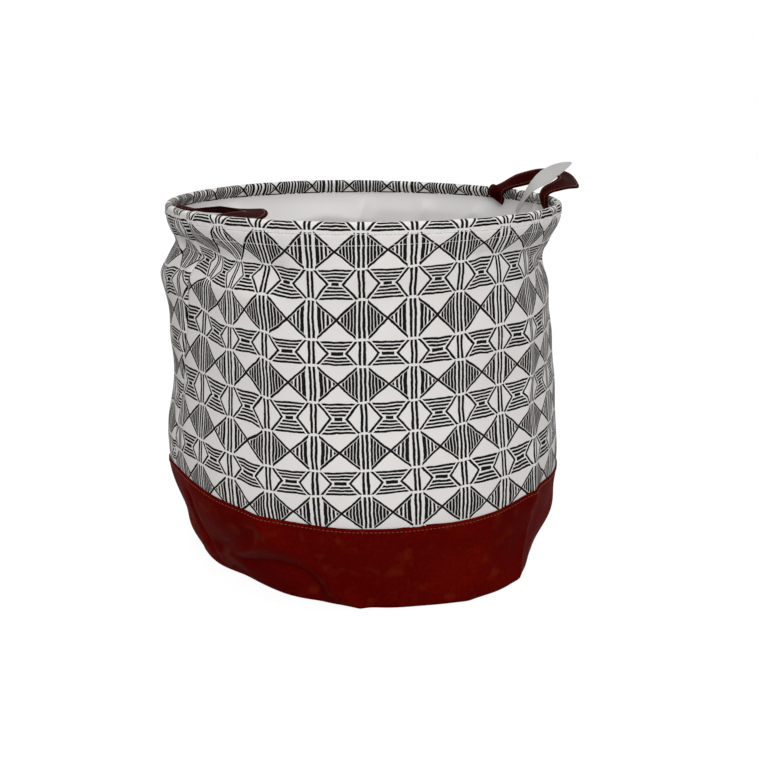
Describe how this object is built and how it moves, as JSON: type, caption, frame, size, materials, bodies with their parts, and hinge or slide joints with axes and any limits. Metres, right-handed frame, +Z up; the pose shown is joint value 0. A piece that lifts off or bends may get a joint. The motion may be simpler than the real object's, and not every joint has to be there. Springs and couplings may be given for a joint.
{
  "type": "fabric storage bin",
  "caption": "Round soft storage bin with printed canvas walls, a leather-look base band, a wire hoop in the hem and strap handles; stores laundry or toys and folds down.",
  "frame": {"origin": "middle of the base, on the surface the bin stands on", "axes": "+Z up, +X towards the right-hand handle, -Y the front"},
  "size_m": [0.4623, 0.413, 0.409],
  "materials": {
    "canvas": "plain-woven cotton canvas, off-white with a black printed geometric pattern",
    "liner": "smooth coated pale grey lining cloth",
    "leather": "grained red-brown leather-look vinyl with a soft sheen",
    "strap": "edge-folded dark red-brown leather-look strap",
    "band_thread": "brown sewing thread",
    "hem_thread": "off-white sewing thread",
    "wire": "sprung steel wire",
    "label": "blank white woven tape"
  },
  "bodies": {
    "base": {"canvas_front_panel": "canvas", "canvas_back_panel": "canvas", "liner_front_panel": "liner", "liner_back_panel": "liner", "liner_base": "liner", "leather_front_band": "leather", "leather_back_band": "leather", "leather_base": "leather", "band_topstitch": "band_thread"},
    "rim": {"hem_front_casing": "canvas", "hem_back_casing": "canvas", "hoop_wire": "wire", "hoop_ferrule": "wire", "hem_topstitch": "hem_thread", "left_handle_ends": "strap", "right_handle_ends": "strap", "care_label": "label"},
    "left_handle": {"left_handle_strap": "strap"},
    "right_handle": {"right_handle_strap": "strap"}
  },
  "joints": [
    {"name": "rim_collapse", "type": "slide", "parent": "base", "child": "rim", "axis": [0, 0, 1], "range_m": [-0.18, 0], "deforming": ["canvas_front_panel", "canvas_back_panel", "liner_front_panel", "liner_back_panel"]},
    {"name": "left_handle_swing", "type": "hinge", "parent": "rim", "child": "left_handle", "pos_m": [-0.17505, 0, 0.3755], "axis": [0, 1, 0], "range_deg": [-162, 60]},
    {"name": "right_handle_swing", "type": "hinge", "parent": "rim", "child": "right_handle", "pos_m": [0.17505, 0, 0.3755], "axis": [0, 1, 0], "range_deg": [-235, 18], "deforming": ["care_label"]}
  ]
}
